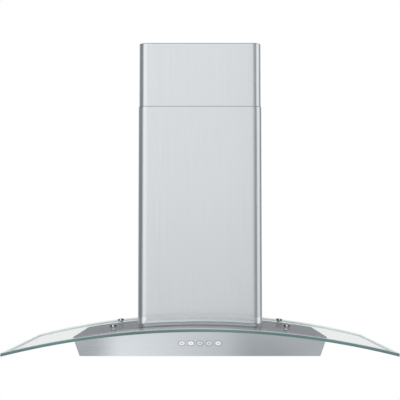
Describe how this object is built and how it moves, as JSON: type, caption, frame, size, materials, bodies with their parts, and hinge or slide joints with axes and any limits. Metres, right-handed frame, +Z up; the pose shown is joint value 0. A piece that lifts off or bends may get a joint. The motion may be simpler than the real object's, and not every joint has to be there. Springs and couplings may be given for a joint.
{
  "type": "curved glass range hood",
  "caption": "Wall-hung kitchen hood with a bent glass canopy, a slim steel body with push buttons and grease filters, and a two-part sliding chimney.",
  "frame": {"origin": "on the wall plane, at the middle of the back panel, level with the two wall screws", "axes": "+X to the right seen from the front, +Y into the wall, +Z up"},
  "size_m": [0.9, 0.5, 0.7806],
  "materials": {
    "glass": "polished, with green edges",
    "chrome": "polished",
    "rubber": "matte",
    "brushed_steel": "satin, brushed",
    "galvanised_steel": "galvanised, dull",
    "plain_steel": "zinc plated",
    "aluminium": "mill finish",
    "white_plastic": "satin",
    "black_plastic": "matte",
    "grey_plastic": "matte",
    "frosted_glass": "frosted"
  },
  "bodies": {
    "hood": {"glass_canopy": "glass", "glass_fixing_front_left": "chrome", "glass_fixing_rear_left": "chrome", "glass_fixing_front_right": "chrome", "glass_fixing_rear_right": "chrome", "lamp_bezel_left": "chrome", "lamp_bezel_right": "chrome", "glass_washer_front_left": "rubber", "glass_washer_rear_left": "rubber", "glass_washer_front_right": "rubber", "glass_washer_rear_right": "rubber", "body_wrap": "brushed_steel", "top_plate": "brushed_steel", "bottom_panel": "brushed_steel", "lower_chimney": "brushed_steel", "back_panel": "galvanised_steel", "blower_box": "galvanised_steel", "motor_bracket": "galvanised_steel", "chimney_bracket_lower": "galvanised_steel", "chimney_bracket_upper": "galvanised_steel", "wall_screw_left": "plain_steel", "wall_screw_right": "plain_steel", "motor": "plain_steel", "capacitor_clip": "plain_steel", "lamp_housing_left": "aluminium", "lamp_housing_right": "aluminium", "lamp_driver": "white_plastic", "capacitor": "white_plastic", "switch_bezel": "black_plastic", "switch_block": "black_plastic", "duct_collar": "black_plastic", "cable_gland": "black_plastic", "scroll_housing": "grey_plastic", "junction_box": "grey_plastic", "junction_box_cover": "grey_plastic", "lamp_lens_left": "frosted_glass", "lamp_lens_right": "frosted_glass"},
    "upper_chimney": {"upper_chimney": "brushed_steel"},
    "button_1": {"button_1": "white_plastic"},
    "button_2": {"button_2": "white_plastic"},
    "button_3": {"button_3": "white_plastic"},
    "button_4": {"button_4": "white_plastic"},
    "button_5": {"button_5": "white_plastic"},
    "impeller": {"impeller": "black_plastic", "motor_shaft": "plain_steel"},
    "damper_front": {"damper_flap_front": "grey_plastic"},
    "damper_rear": {"damper_flap_rear": "grey_plastic"},
    "filter_left": {"filter_frame_left": "aluminium", "filter_mesh_left": "aluminium"},
    "filter_right": {"filter_frame_right": "aluminium", "filter_mesh_right": "aluminium"},
    "latch_left": {"filter_latch_left": "black_plastic"},
    "latch_right": {"filter_latch_right": "black_plastic"}
  },
  "joints": [
    {"name": "chimney_slide", "type": "slide", "parent": "hood", "child": "upper_chimney", "axis": [0, 0, 1], "range_m": [-0.15, 0.18]},
    {"name": "button_1_press", "type": "slide", "parent": "hood", "child": "button_1", "axis": [0, 1, 0], "range_m": [0, 0.0025], "stiffness_N_per_m": 400},
    {"name": "button_2_press", "type": "slide", "parent": "hood", "child": "button_2", "axis": [0, 1, 0], "range_m": [0, 0.0025], "stiffness_N_per_m": 400},
    {"name": "button_3_press", "type": "slide", "parent": "hood", "child": "button_3", "axis": [0, 1, 0], "range_m": [0, 0.0025], "stiffness_N_per_m": 400},
    {"name": "button_4_press", "type": "slide", "parent": "hood", "child": "button_4", "axis": [0, 1, 0], "range_m": [0, 0.0025], "stiffness_N_per_m": 400},
    {"name": "button_5_press", "type": "slide", "parent": "hood", "child": "button_5", "axis": [0, 1, 0], "range_m": [0, 0.0025], "stiffness_N_per_m": 400},
    {"name": "impeller_spin", "type": "hinge", "parent": "hood", "child": "impeller", "pos_m": [0, -0.15, 0.157], "axis": [1, 0, 0], "continuous": true},
    {"name": "damper_front_lift", "type": "hinge", "parent": "hood", "child": "damper_front", "pos_m": [0, -0.1539, 0.3038], "axis": [-1, 0, 0], "range_deg": [0, 80]},
    {"name": "damper_rear_lift", "type": "hinge", "parent": "hood", "child": "damper_rear", "pos_m": [0, -0.1461, 0.3038], "axis": [1, 0, 0], "range_deg": [0, 80]},
    {"name": "filter_left_swing", "type": "hinge", "parent": "hood", "child": "filter_left", "pos_m": [-0.14, -0.033, -0.0322], "axis": [1, 0, 0], "range_deg": [0, 45]},
    {"name": "filter_right_swing", "type": "hinge", "parent": "hood", "child": "filter_right", "pos_m": [0.14, -0.033, -0.0322], "axis": [1, 0, 0], "range_deg": [0, 45]},
    {"name": "latch_left_slide", "type": "slide", "parent": "filter_left", "child": "latch_left", "axis": [0, 1, 0], "range_m": [0, 0.005], "stiffness_N_per_m": 400},
    {"name": "latch_right_slide", "type": "slide", "parent": "filter_right", "child": "latch_right", "axis": [0, 1, 0], "range_m": [0, 0.005], "stiffness_N_per_m": 400}
  ]
}
